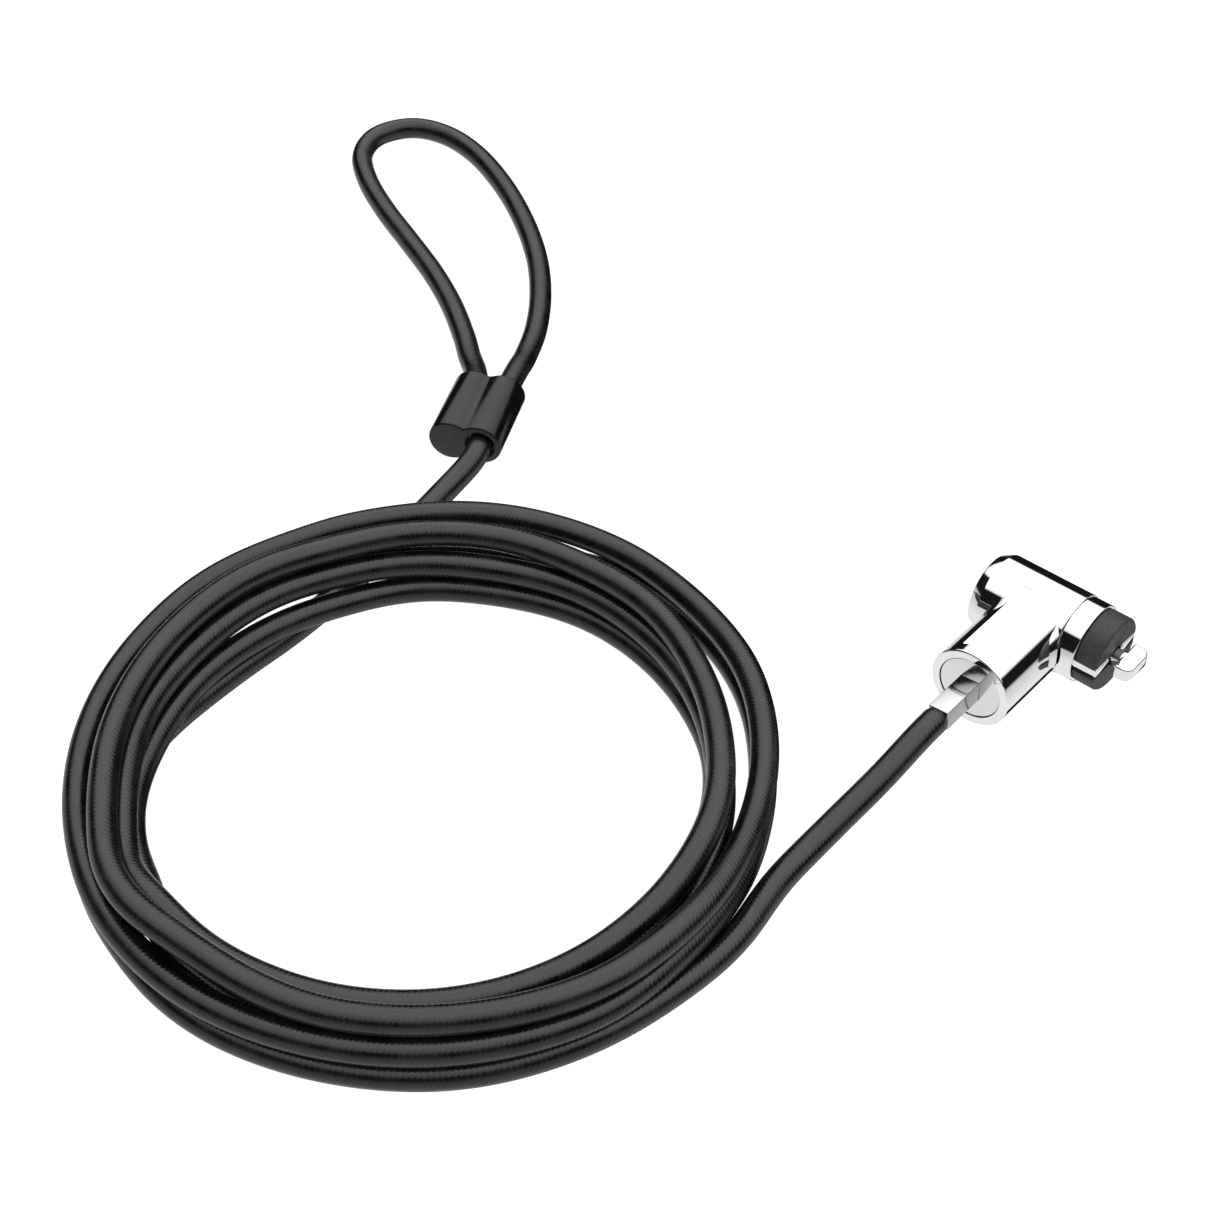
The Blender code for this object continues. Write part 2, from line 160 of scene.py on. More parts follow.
def metal(name, dark, light, rough, spread, grain=(1, 1, 1), scratch=0.0, size=900.0, specks=0.0):
    """Plated or bare metal: cloudy tone, uneven polish, and fine lines drawn out along one direction."""
    made, g, shader = new_material(name)
    clouds = g.noise(g.place(), 160.0, 4.0, 0.6)
    lines = g.noise(g.place(scale=grain), size, 3.0, 0.65)
    tone = g.math("ADD", g.math("MULTIPLY", clouds, 0.6), g.math("MULTIPLY", lines, 0.4))
    g.put(shader.inputs["Base Color"], g.colours(g.ramp(tone, 0.35, 0.65), dark, light))
    worn = g.ramp(lines, 0.3, 0.75, rough, rough + spread)
    if specks:
        spots = g.ramp(g.noise(g.place(), 2600.0, 2.0, 0.5), 0.66, 0.74, 0.0, specks)
        worn = g.math("ADD", worn, spots)
    g.put(shader.inputs["Roughness"], worn)
    shader.inputs["Metallic"].default_value = 1.0
    if scratch:
        g.put(shader.inputs["Normal"], g.bump(lines, scratch * MM, 1.0))
    return made


def build_chrome(name, rough=0.035):
    return metal(name, (0.90, 0.90, 0.905), (0.95, 0.95, 0.95), rough, 0.03, scratch=0.0004, specks=0.05)


chrome = build_chrome("chrome_plate")
bar_chrome = metal(
    "bar_satin_nickel", (0.42, 0.42, 0.42), (0.47, 0.465, 0.46), 0.10, 0.05, grain=(1, 0.06, 1), scratch=0.0006
)
disc_metal = metal(
    "swivel_disc_nickel", (0.80, 0.785, 0.765), (0.86, 0.845, 0.825), 0.10, 0.06, grain=(1, 0.05, 1), scratch=0.0006
)
steel = metal("turned_steel", (0.42, 0.42, 0.43), (0.62, 0.62, 0.63), 0.22, 0.18, grain=(14, 1, 1), scratch=0.002)
brass = metal("turned_brass", (0.60, 0.43, 0.17), (0.80, 0.61, 0.28), 0.24, 0.16, grain=(12, 1, 1), scratch=0.002)


def build_rubber():
    """Matt black rubber pad: fine pitting and a dusty bloom."""
    made, g, shader = new_material("pad_rubber_matt")
    fine = g.noise(g.place(), 2400.0, 4.0, 0.65)
    bloom = g.noise(g.place(), 260.0, 3.0, 0.5)
    g.put(shader.inputs["Base Color"], g.colours(g.ramp(bloom, 0.3, 0.7), (0.022, 0.022, 0.022), (0.040, 0.040, 0.041)))
    g.put(shader.inputs["Roughness"], g.ramp(fine, 0.3, 0.7, 0.50, 0.72))
    g.put(shader.inputs["Normal"], g.bump(fine, 0.03 * MM, 0.8))
    shader.inputs["Specular IOR Level"].default_value = 0.45
    return made


STRANDS, LAY = 10, 0.008  # strands of the steel rope that show through the jacket, and their lay in metres


def build_jacket():
    """Black vinyl over a steel rope: the strands show as a faint twist, with an uneven satin gloss."""
    made, g, shader = new_material("cable_jacket_vinyl")
    where = g.node("ShaderNodeUVMap", uv_map="run")
    apart = g.node("ShaderNodeSeparateXYZ")
    g.tree.links.new(where.outputs["UV"], apart.inputs[0])
    around, along = apart.outputs[0], apart.outputs[1]
    phase = g.math("MULTIPLY", g.math("ADD", around, g.math("DIVIDE", along, LAY)), 2 * math.pi * STRANDS)
    twist = g.math("MULTIPLY_ADD", g.math("SINE", phase), 0.5, 0.5)
    fine = g.noise(g.place(), 1500.0, 3.0, 0.6)
    marks = g.noise(g.place(), 230.0, 3.0, 0.5)
    g.put(shader.inputs["Base Color"], g.colours(g.ramp(marks, 0.3, 0.7), (0.0030, 0.0030, 0.0031), (0.0085, 0.0085, 0.0088)))
    gloss = g.math("ADD", g.ramp(fine, 0.3, 0.7, 0.19, 0.30), g.ramp(marks, 0.35, 0.7, 0.0, 0.07))
    g.put(shader.inputs["Roughness"], gloss)
    low_bump = g.bump(twist, 0.020 * MM, 0.8)
    g.put(shader.inputs["Normal"], g.bump(fine, 0.012 * MM, 0.7, low_bump))
    shader.inputs["Specular IOR Level"].default_value = 0.5
    return made


def build_moulding(name, base, rough, grain):
    """Moulded black plastic: glossy, with faint flow marks along the part."""
    made, g, shader = new_material(name)
    flow = g.noise(g.place(scale=(1.0, 1.0, 1.0)), 420.0, 4.0, 0.55)
    fine = g.noise(g.place(), 2600.0, 2.0, 0.5)
    dark = tuple(0.7 * c for c in base)
    g.put(shader.inputs["Base Color"], g.colours(g.ramp(flow, 0.3, 0.7), dark, base))
    g.put(shader.inputs["Roughness"], g.ramp(flow, 0.3, 0.7, rough, rough + 0.08))
    g.put(shader.inputs["Normal"], g.bump(fine, grain * MM, 0.6))
    shader.inputs["Specular IOR Level"].default_value = 0.36
    return made


rubber = build_rubber()
jacket = build_jacket()
moulding = build_moulding("crimp_moulding_gloss", (0.0050, 0.0050, 0.0052), 0.11, 0.003)
moulding_face = build_moulding("crimp_moulding_matt", (0.034, 0.034, 0.034), 0.62, 0.02)


# ---- cable: its route ---------------------------------------------------------------
R = 2.2  # half the jacket's diameter
COIL = (-59.38, -72.90)
# One (radius, height) every 20 degrees of the coil, clockwise seen from above, as the turns lie on each other.
COIL_START = -1.27
COIL_ROWS = """
56.9 2.2 57.2 2.2 57.8 2.2 57.2 2.2 56.4 2.2 54.4 2.2 53.1 2.2 52.3 2.2 52.1 2.2 51.1 3.3 47.6 5.9 44.9 6.4
47.6 3.4 50.6 2.2 51.1 2.2 51.2 2.2 50.9 2.2 51.7 2.2 53.9 5.3 56.8 6.6 57.0 6.5 56.6 6.6 56.1 6.6 54.9 6.6
53.2 6.6 52.3 6.6 52.0 6.6 51.4 7.8 48.1 9.8 48.0 10.5 51.4 7.9 52.1 6.6 51.1 6.6 51.3 6.6 51.0 6.6 51.4 7.4
53.5 9.8 55.4 10.7 54.9 10.4 54.4 10.7 52.8 11.8 52.4 13.0 48.0 14.5 44.8 14.7 42.5 14.8 40.6 15.2 39.2 14.3 40.5 13.0
41.8 11.6 41.5 11.0 42.0 11.0 42.2 11.0 43.6 11.0 46.3 10.8 47.7 8.8 48.8 7.3 49.5 6.7 49.8 7.0 49.8 8.1 49.9 9.6
45.8 10.7 43.2 10.6 40.4 10.8 38.5 11.1 37.4 10.1 38.1 8.6 38.6 7.5 40.1 6.7 40.6 6.6 41.7 6.6 43.6 6.7 46.7 5.9
49.5 3.8 52.0 2.5 53.0 2.2 52.7 2.2 51.4 3.7 48.6 5.3 45.4 6.4 41.3 6.6 38.6 6.6 36.0 6.7 35.2 5.7 36.8 4.1
37.7 2.9 39.3 2.2 40.2 2.2 41.6 2.2 43.8 2.2 44.6 2.2 45.4 2.2 47.5 2.2 48.7 2.2 48.4 2.2 48.4 2.2 49.5 2.2
48.6 2.2 44.2 2.2 38.9 2.2 37.1 2.2
"""
SLEEVE = np.array((-108.2, -15.3, 3.9))
TURN = math.radians(117.0)
FORWARD = np.array((math.cos(TURN), math.sin(TURN), 0.0))
ACROSS = np.array((math.sin(TURN), -math.cos(TURN), 0.0))
CRIMP_LEN, LOBE_R, LOBE_APART = 16.4, 3.9, 2.9


def beside(lobe, ahead, height=3.9):
    """A point `ahead` of the sleeve's near end, on the line of one lobe (+1 right, -1 left)."""
    p = SLEEVE + ACROSS * lobe * LOBE_APART + FORWARD * ahead
    return (float(p[0]), float(p[1]), height)


exit_y = float(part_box("cable_terminal")[0].y) / MM  # the cable leaves the end of the swivel's square bar
lead = [
    (-3.55, exit_y - 0.02, 7.0),
    (-3.55, -23.2, 6.75),
    (-3.65, -28.7, 5.7),
    (-3.9, -34.7, 4.4),
    (-4.28, -40.2, 3.6),
    (-4.47, -43.1, 3.1),
    (-4.5, -46.1, 2.7),
    (-4.53, -49.1, 2.4),
    (-4.58, -52.1, 2.25),
    (-4.5, -55.3, 2.2),
    (-4.3, -58.4, 2.2),
    (-3.34, -63.0, 2.2),
    (-2.70, -67.9, 2.2),
]
numbers = [float(v) for v in COIL_ROWS.split()]
coil = []
for k, (radius, height) in enumerate(zip(numbers[::2], numbers[1::2])):
    angle = math.radians(COIL_START - 20 * k)
    coil.append((COIL[0] + radius * math.cos(angle), COIL[1] + radius * math.sin(angle), height))
tail = [
    (-96.4, -73.3, 2.2),
    (-96.9, -61.4, 2.2),
    (-98.8, -49.6, 2.2),
    (-100.6, -37.7, 2.2),
    (-102.9, -26.0, 2.3),
    (-103.8, -21.5, 2.7),
    beside(1, -2.5, 3.7),
    beside(1, 0),
    beside(1, 8),
    beside(1, 16.4),
]
loop = [
    beside(1, 19, 3.8),
    beside(1, 24, 3.4),
    beside(1, 30, 2.6),
    (-124.2, 21.0, 2.2),
    (-131.2, 29.8, 2.2),
    (-140.2, 38.6, 2.2),
    (-151.4, 46.9, 2.2),
    (-164.0, 54.2, 2.2),
    (-177.0, 59.6, 2.2),
    (-188.0, 61.3, 2.2),
    (-196.0, 58.6, 2.2),
    (-199.3, 51.2, 2.2),
    (-196.0, 43.4, 2.2),
    (-187.6, 36.9, 2.2),
    (-176.4, 31.2, 2.2),
    (-164.2, 26.2, 2.2),
    (-152.6, 21.3, 2.2),
    (-142.2, 15.9, 2.2),
    (-132.8, 9.8, 2.25),
    (-127.2, 5.6, 2.45),
    (-122.5, 2.3, 3.0),
    beside(-1, 16.4),
    beside(-1, 8),
    beside(-1, 3),
]


def through(points, count):
    """A smooth curve through the points, with `count` steps between each pair."""
    p = np.asarray(points, float)
    p = np.vstack([2 * p[0] - p[1], p, 2 * p[-1] - p[-2]])
    out = []
    for k in range(count):
        t = k / count
        a, b, c, d = p[:-3], p[1:-2], p[2:-1], p[3:]
        out.append(
            0.5 * (2 * b + (c - a) * t + (2 * a - 5 * b + 4 * c - d) * t * t + (3 * b - a - 3 * c + d) * t**3)
        )
    return np.vstack([np.stack(out, 1).reshape(-1, 3), p[-2]])


def even(points, spacing):
    run = np.r_[0, np.cumsum(np.linalg.norm(np.diff(points, axis=0), axis=1))]
    count = int(round(run[-1] / spacing))
    at = np.linspace(0, run[-1], count + 1)
    return np.stack([np.interp(at, run, points[:, i]) for i in range(3)], 1)


def settle(route, fixed, rounds):
    """Pushes touching turns a diameter apart, smooths the bends, and keeps all of it on or above the table."""
    p, start, count = route.copy(), route.copy(), len(route)
    held = fixed[:, None]
    for it in range(rounds):
        if it % 8 == 0:
            apart = np.linalg.norm(p[:, None] - p[None], axis=2)
            i, j = np.where((apart < 6.5) & (np.arange(count)[None] - np.arange(count)[:, None] > 5))
        gap = p[j] - p[i]
        far = np.linalg.norm(gap, axis=1)
        push = np.clip(4.42 - far, 0, None)
        near = push > 0
        way = gap / np.maximum(far, 1e-6)[:, None]
        move, hits = np.zeros_like(p), np.zeros(count)
        np.add.at(move, i[near], -0.5 * way[near] * push[near, None])
        np.add.at(move, j[near], 0.5 * way[near] * push[near, None])
        np.add.at(hits, i[near], 1)
        np.add.at(hits, j[near], 1)
        p = p + np.where(held, 0, move / np.maximum(hits, 1)[:, None] * 1.2)
        bend = np.zeros_like(p)
        bend[2:-2] = (-p[:-4] + 4 * p[1:-3] - 6 * p[2:-2] + 4 * p[3:-1] - p[4:]) / 16
        p = p + np.where(held, 0, bend * 0.9)
        if it < rounds - 50:
            p += np.where(held, 0, (start - p) * np.array((0.05, 0.05, 0.04)))
        p[:, 2] = np.maximum(p[:, 2], R)
        p[fixed] = start[fixed]
    return p


route = even(through(lead + coil + tail + loop, 12), 2.0)
sleeve_at = int(np.linalg.norm(route - np.array(beside(1, 0)), axis=1).argmin())
fixed = np.zeros(len(route), bool)
fixed[:3] = True
fixed[sleeve_at - 1 :] = True
route = settle(route, fixed, 260)
route = even(through(route, 4), 0.72)
cable_length = float(np.linalg.norm(np.diff(route, axis=0), axis=1).sum())


# ---- mesh helpers -------------------------------------------------------------------
def finish_mesh(name, mesh, body, *materials, slot=None, replaces=(), smooth=True, angle=32):
    obj = bpy.data.objects.new(name, mesh)
    scene.collection.objects.link(obj)
    for material in materials:
        mesh.materials.append(material)
    if smooth:
        mesh.shade_smooth()
        mesh.set_sharp_from_angle(angle=math.radians(angle))
    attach(obj, body)
    if replaces:
        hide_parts(*replaces)
    return obj


def round_tube(name, path, radius, sides):
    """A closed round tube along dense points, with softly rounded cut ends and a UV map of turn and run."""
    count = len(path)
    ahead = np.gradient(path, axis=0)
    ahead /= np.linalg.norm(ahead, axis=1)[:, None]
    side = np.zeros_like(path)
    v = np.cross(ahead[0], (0, 0, 1))
    side[0] = v / np.linalg.norm(v)
    for k in range(1, count):
        v = side[k - 1] - ahead[k] * (side[k - 1] @ ahead[k])
        side[k] = v / np.linalg.norm(v)
    up = np.cross(ahead, side)
    run = np.r_[0, np.cumsum(np.linalg.norm(np.diff(path, axis=0), axis=1))]
    reach = np.full(count, radius)
    reach[0], reach[1] = radius - 0.3, radius
    reach[-1] = radius - 0.3
    angles = np.linspace(0, 2 * math.pi, sides, endpoint=False)
    ring = np.cos(angles)[None, :, None] * side[:, None] + np.sin(angles)[None, :, None] * up[:, None]
    points = (path[:, None] + ring * reach[:, None, None]).reshape(-1, 3)
    points = np.vstack([points, path[0], path[-1]]) * MM
    faces, uvs = [], []
    for k in range(count - 1):
        a, b = k * sides, (k + 1) * sides
        v0, v1 = run[k] * MM, run[k + 1] * MM
        for s in range(sides):
            t = (s + 1) % sides
            faces.append((a + s, a + t, b + t, b + s))
            u0, u1 = s / sides, (s + 1) / sides
            uvs += [(u0, v0), (u1, v0), (u1, v1), (u0, v1)]
    first, last = len(points) - 2, len(points) - 1
    end = (count - 1) * sides
    for s in range(sides):
        t = (s + 1) % sides
        faces.append((t, s, first))
        uvs += [(t / sides, 0), (s / sides, 0), (0, 0)]
        faces.append((end + s, end + t, last))
        uvs += [(0, run[-1] * MM)] * 3
    mesh = bpy.data.meshes.new(name)
    mesh.from_pydata([tuple(p) for p in points], [], faces)
    layer = mesh.uv_layers.new(name="run")
    layer.data.foreach_set("uv", np.asarray(uvs, np.float32).reshape(-1))
    mesh.validate()
    return mesh


def lathe(name, profile, along, steps=144, ring=False):
    """A turned piece. The profile is (place along the axis, radius), and `along` is "X" or "-Y" from the barrels' meeting point."""
    bm = bmesh.new()
    loops = []
    for t, r in profile:
        row = []
        for k in range(1 if r == 0 else steps):
            a = 2 * math.pi * k / steps
            c, s = r * math.cos(a), r * math.sin(a)
            local = Vector((t, s, c)) if along == "X" else Vector((s, -t, c))
            row.append(bm.verts.new((CENTRE + local) * MM))
        loops.append(row)
    pairs = list(zip(loops, loops[1:]))
    if ring:
        pairs.append((loops[-1], loops[0]))
    for a, b in pairs:
        for k in range(steps):
            n = (k + 1) % steps
            if len(a) == 1 and len(b) == 1:
                break
            if len(a) == 1:
                bm.faces.new((a[0], b[n], b[k]))
            elif len(b) == 1:
                bm.faces.new((a[k], a[n], b[0]))
            else:
                bm.faces.new((a[k], a[n], b[n], b[k]))
    bmesh.ops.recalc_face_normals(bm, faces=bm.faces)
    mesh = bpy.data.meshes.new(name)
    bm.to_mesh(mesh)
    bm.free()
    return mesh


def block(name, x, y, z, rounding=0.0, segments=3, turn=None):
    """A box between limits from the meeting point, with rounded edges."""
    bm = bmesh.new()
    bmesh.ops.create_cube(bm, size=1.0)
    bmesh.ops.scale(bm, vec=Vector((x[1] - x[0], y[1] - y[0], z[1] - z[0])), verts=bm.verts)
    bmesh.ops.translate(bm, vec=Vector(((x[0] + x[1]) / 2, (y[0] + y[1]) / 2, (z[0] + z[1]) / 2)), verts=bm.verts)
    if rounding:
        bmesh.ops.bevel(
            bm, geom=list(bm.edges) + list(bm.verts), offset=rounding, segments=segments, profile=0.5, affect="EDGES"
        )
    if turn is not None:
        bmesh.ops.transform(bm, matrix=turn, verts=bm.verts)
    for v in bm.verts:
        v.co = (CENTRE + v.co) * MM
    bmesh.ops.recalc_face_normals(bm, faces=bm.faces)
    mesh = bpy.data.meshes.new(name)
    bm.to_mesh(mesh)
    bm.free()
    return mesh


def combine(name, mesh, *steps):
    """The mesh after exact Boolean steps, each ("UNION" or "DIFFERENCE", mesh)."""
    holder = bpy.data.objects.new(name, mesh)
    scene.collection.objects.link(holder)
    helpers = []
    for k, (operation, other) in enumerate(steps):
        helper = bpy.data.objects.new(f"{name}_helper_{k}", other)
        scene.collection.objects.link(helper)
        helpers.append(helper)
        mod = holder.modifiers.new(f"step_{k}", "BOOLEAN")
        mod.operation = operation
        mod.solver = "EXACT"
        mod.object = helper
    bpy.context.view_layer.update()
    graph = bpy.context.evaluated_depsgraph_get()
    made = bpy.data.meshes.new_from_object(holder.evaluated_get(graph))
    made.name = name
    for obj in [holder] + helpers:
        old = obj.data
        bpy.data.objects.remove(obj, do_unlink=True)
        bpy.data.meshes.remove(old)
    return made


def quarter(t0, r0, t1, r1, count, start=0.0, end=90.0):
    """Points of a quarter ellipse from (t0, r0), where it runs along the axis, to (t1, r1), where it runs across it."""
    out = []
    for k in range(count + 1):
        a = math.radians(start + (end - start) * k / count)
        out.append((t0 + (t1 - t0) * math.sin(a), r1 + (r0 - r1) * math.cos(a)))
    return out


def true_normals(mesh, cylinders):
    """Gives the faces of a turned surface their exact normals. Each cylinder is ("X" or "-Y", radius)."""
    count = len(mesh.loops)
    normals = np.empty(count * 3, np.float32)
    mesh.corner_normals.foreach_get("vector", normals)
    normals = normals.reshape(-1, 3)
    points = np.empty(len(mesh.vertices) * 3, np.float32)
    mesh.vertices.foreach_get("co", points)
    points = points.reshape(-1, 3) / MM - np.array(CENTRE)
    for face in mesh.polygons:
        at = points[list(face.vertices)]
        for along, radius in cylinders:
            if along == "X":
                flat = np.c_[np.zeros(len(at)), at[:, 1], at[:, 2]]
                lean = abs(face.normal.x)
            else:
                flat = np.c_[at[:, 0], np.zeros(len(at)), at[:, 2]]
                lean = abs(face.normal.y)
            reach = np.linalg.norm(flat, axis=1)
            if lean < 0.05 and np.all(np.abs(reach - radius) < 0.02):
                out = flat / reach[:, None]
                if out[0] @ np.array(face.normal) < 0:
                    out = -out
                for corner, normal in zip(face.loop_indices, out):
                    normals[corner] = normal
                break
    mesh.normals_split_custom_set([tuple(float(v) for v in n) for n in normals])


# ---- cable: the mesh ------------------------------------------------------------------
cable = finish_mesh(
    "cable",
    round_tube("cable", route, R, 24),
    "head",
    jacket,
    slot="cable_jacket",
    replaces=("cable_lead", "cable_coil", "cable_tail", "cable_loop"),
    angle=50,
)


def sleeve_mesh():
    """Two joined lobes along the cable, with rounded, capped ends; the bores for three cable ends are cut from it
    later, and one end stays closed.
    """
    sides = 112
    outline = []
    for k in range(sides):
        a = 2 * math.pi * k / sides
        c, s = math.cos(a), math.sin(a)
        outline.append(LOBE_APART * math.sqrt(c * c + 0.07) + math.sqrt(LOBE_R**2 - (LOBE_APART * s) ** 2))
    widest = max(r * abs(math.cos(2 * math.pi * k / sides)) for k, r in enumerate(outline))
    shrink = (LOBE_APART + LOBE_R) / widest
    bm = bmesh.new()
    stations = [(0.45 * (1 - math.cos(math.radians(a))), 0.45 * (1 - math.sin(math.radians(a)))) for a in (0, 22, 45, 67, 90)]
    stations = [(t, inset) for t, inset in stations]
    stations += [(CRIMP_LEN - t, inset) for t, inset in reversed(stations)]
    rows = []
    for t, inset in stations:
        row = []
        for k, r in enumerate(outline):
            a = 2 * math.pi * k / sides
            r = (r * shrink) - inset
            place = SLEEVE + ACROSS * (r * math.cos(a)) + FORWARD * t + np.array((0, 0, min(r * math.sin(a), LOBE_R)))
            row.append(bm.verts.new(Vector(place) * MM))
        rows.append(row)
    for a, b in zip(rows, rows[1:]):
        for k in range(sides):
            n = (k + 1) % sides
            bm.faces.new((a[k], a[n], b[n], b[k]))
    bm.faces.new(rows[0])
    bm.faces.new(rows[-1])
    bmesh.ops.recalc_face_normals(bm, faces=bm.faces)
    mesh = bpy.data.meshes.new("crimp_body")
    bm.to_mesh(mesh)
    bm.free()
    return mesh


def bore(start, end, lobe, radius):
    """A round cutter of one radius along one lobe of the sleeve, from `start` to `end`."""
    bm = bmesh.new()
    profile = [(start, 0), (start, radius), (end, radius), (end, 0)]
    steps, rows = 56, []
    for t, r in profile:
        row = []
        for k in range(1 if r == 0 else steps):
            a = 2 * math.pi * k / steps
            place = SLEEVE + ACROSS * (lobe * LOBE_APART + r * math.cos(a)) + FORWARD * t + np.array((0, 0, r * math.sin(a)))
            row.append(bm.verts.new(Vector(place) * MM))
        rows.append(row)
    for a, b in zip(rows, rows[1:]):
        for k in range(steps):
            n = (k + 1) % steps
            if len(a) == 1:
                bm.faces.new((a[0], b[n], b[k]))
            elif len(b) == 1:
                bm.faces.new((a[k], a[n], b[0]))
            else:
                bm.faces.new((a[k], a[n], b[n], b[k]))
    bmesh.ops.recalc_face_normals(bm, faces=bm.faces)
    mesh = bpy.data.meshes.new("bore")
    bm.to_mesh(mesh)
    bm.free()
    return mesh


crimp_mesh = combine(
    "crimp_sleeve_moulding",
    sleeve_mesh(),
    ("DIFFERENCE", bore(-1, CRIMP_LEN + 1, 1, 2.26)),
    ("DIFFERENCE", bore(-1, 1.3, 1, 2.85)),
    ("DIFFERENCE", bore(CRIMP_LEN - 1.1, CRIMP_LEN + 1, 1, 2.7)),
    ("DIFFERENCE", bore(2.6, CRIMP_LEN + 1, -1, 2.26)),
    ("DIFFERENCE", bore(CRIMP_LEN - 1.1, CRIMP_LEN + 1, -1, 2.7)),
)
crimp = finish_mesh(
    "crimp_sleeve_moulding",
    crimp_mesh,
    "head",
    moulding,
    moulding_face,
    slot="crimp_plastic",
    replaces=("crimp_sleeve",),
    angle=28,
)
for face in crimp_mesh.polygons:
    if abs(face.normal @ Vector(FORWARD)) > 0.99 and (face.center / MM - Vector(SLEEVE)) @ Vector(FORWARD) < 0.1:
        face.material_index = 1


# ---- lock head --------------------------------------------------------------------------
N = 160
BARREL = 7.0
FRONT = 5.95
lock_barrel = lathe(
    "lock_barrel",
    [(FRONT, 0), (FRONT, BARREL - 0.16)]
    + quarter(FRONT - 0.16, BARREL, FRONT, BARREL - 0.16, 4)[::-1][1:]
    + quarter(-8.5, BARREL, -8.85, BARREL - 0.09, 3, 0, 45)
    + quarter(-10.2, 6.25, -10.6, 5.86, 6, 25, 90)
    + [(-10.6, 0)],
    "X",
    N,
)
cable_barrel = lathe(
    "cable_barrel",
    [(21.4, 0), (21.4, BARREL - 0.3)] + quarter(21.1, BARREL, 21.4, BARREL - 0.3, 5)[::-1][1:] + [(1.0, BARREL), (1.0, 0)],
    "-Y",
    N,
)
steps = [("UNION", cable_barrel)]
FLAT = [(-19.4, 6.2), (-3.4, 6.2), (1.2, 6.9), (1.2, 9.0), (-19.4, 9.0)]  # the flat runs out on the lock barrel's crown


def prism(name, outline, x0, x1, flip=1):
    """A closed prism along X from a (y, z) outline."""
    bm = bmesh.new()
    rows = [[bm.verts.new((CENTRE + Vector((x, y, z * flip))) * MM) for y, z in outline] for x in (x0, x1)]
    count = len(outline)
    for k in range(count):
        n = (k + 1) % count
        bm.faces.new((rows[0][k], rows[0][n], rows[1][n], rows[1][k]))
    bm.faces.new(rows[0])
    bm.faces.new(rows[1])
    bmesh.ops.recalc_face_normals(bm, faces=bm.faces)
    mesh = bpy.data.meshes.new(name)
    bm.to_mesh(mesh)
    bm.free()
    return mesh


def fine_line(name, ends, radius=0.085, sides=10):
    """A thin round cutter between two points: the crisp line at the edge of a flat."""
    a, b = (CENTRE + Vector(p) for p in ends)
    turn = (b - a).to_track_quat("Z", "Y").to_matrix()
    bm = bmesh.new()
    bmesh.ops.create_cone(bm, cap_ends=True, segments=sides, radius1=radius, radius2=radius, depth=(b - a).length)
    for v in bm.verts:
        v.co = (turn @ v.co + (a + b) / 2) * MM
    mesh = bpy.data.meshes.new(name)
    bm.to_mesh(mesh)
    bm.free()
    return mesh


steps += [("DIFFERENCE", prism("flat", FLAT, -3.25, 3.25, flip)) for flip in (1, -1)]
for flip in (1, -1):
    steps += [("DIFFERENCE", fine_line("flat_edge", ((x, -19.3, 6.2 * flip), (x, -3.5, 6.2 * flip)))) for x in (-3.25, 3.25)]
    steps.append(("DIFFERENCE", fine_line("flat_end", ((-3.2, -19.4, 6.25 * flip), (3.2, -19.4, 6.25 * flip)), 0.1)))
steps += [
    ("DIFFERENCE", lathe("spot_face", [(FRONT, 0), (FRONT, 7.4), (9.5, 7.4), (9.5, 0)], "X", 64)),
    ("DIFFERENCE", lathe("lock_bore", [(-14, 0), (-14, 5.6), (3.4, 5.6), (3.4, 0)], "X", N)),
    ("DIFFERENCE", lathe("spindle_bore", [(0, 0), (0, 2.8), (8, 2.8), (8, 0)], "X", 64)),
    ("DIFFERENCE", lathe("swivel_bore", [(13.7, 0), (13.7, 5.55), (25, 5.55), (25, 0)], "-Y", N)),
    ("DIFFERENCE", lathe("stem_bore", [(10.6, 0), (10.6, 3.4), (16, 3.4), (16, 0)], "-Y", 64)),
]


def upright_rod(name, radius, x, y, z0, z1, steps=32):
    bm = bmesh.new()
    bmesh.ops.create_cone(bm, cap_ends=True, segments=steps, radius1=radius, radius2=radius, depth=z1 - z0)
    for v in bm.verts:
        v.co = (CENTRE + v.co + Vector((x, y, (z0 + z1) / 2))) * MM
    mesh = bpy.data.meshes.new(name)
    bm.to_mesh(mesh)
    bm.free()
    return mesh


def rod_along_x(name, radius, x0, x1, y, z, steps=32):
    bm = bmesh.new()
    bmesh.ops.create_cone(bm, cap_ends=True, segments=steps, radius1=radius, radius2=radius, depth=x1 - x0)
    for v in bm.verts:
        v.co = (CENTRE + Vector((v.co.z + (x0 + x1) / 2, y + v.co.y, z - v.co.x))) * MM
    bmesh.ops.recalc_face_normals(bm, faces=bm.faces)
    mesh = bpy.data.meshes.new(name)
    bm.to_mesh(mesh)
    bm.free()
    return mesh


steps.append(("DIFFERENCE", upright_rod("bush_pin_hole", 1.0, 0, -16.6, -8, -4)))
steps += [("DIFFERENCE", rod_along_x("dowel_hole", 0.8, 3.7, 7, 0, z)) for z in (4.3, -4.3)]
housing_mesh = combine("housing_casting", lock_barrel, *steps)
housing = finish_mesh("housing_casting", housing_mesh, "head", chrome, slot="housing_chrome", replaces=("lock_housing",))
true_normals(housing_mesh, [("X", BARREL), ("-Y", BARREL)])

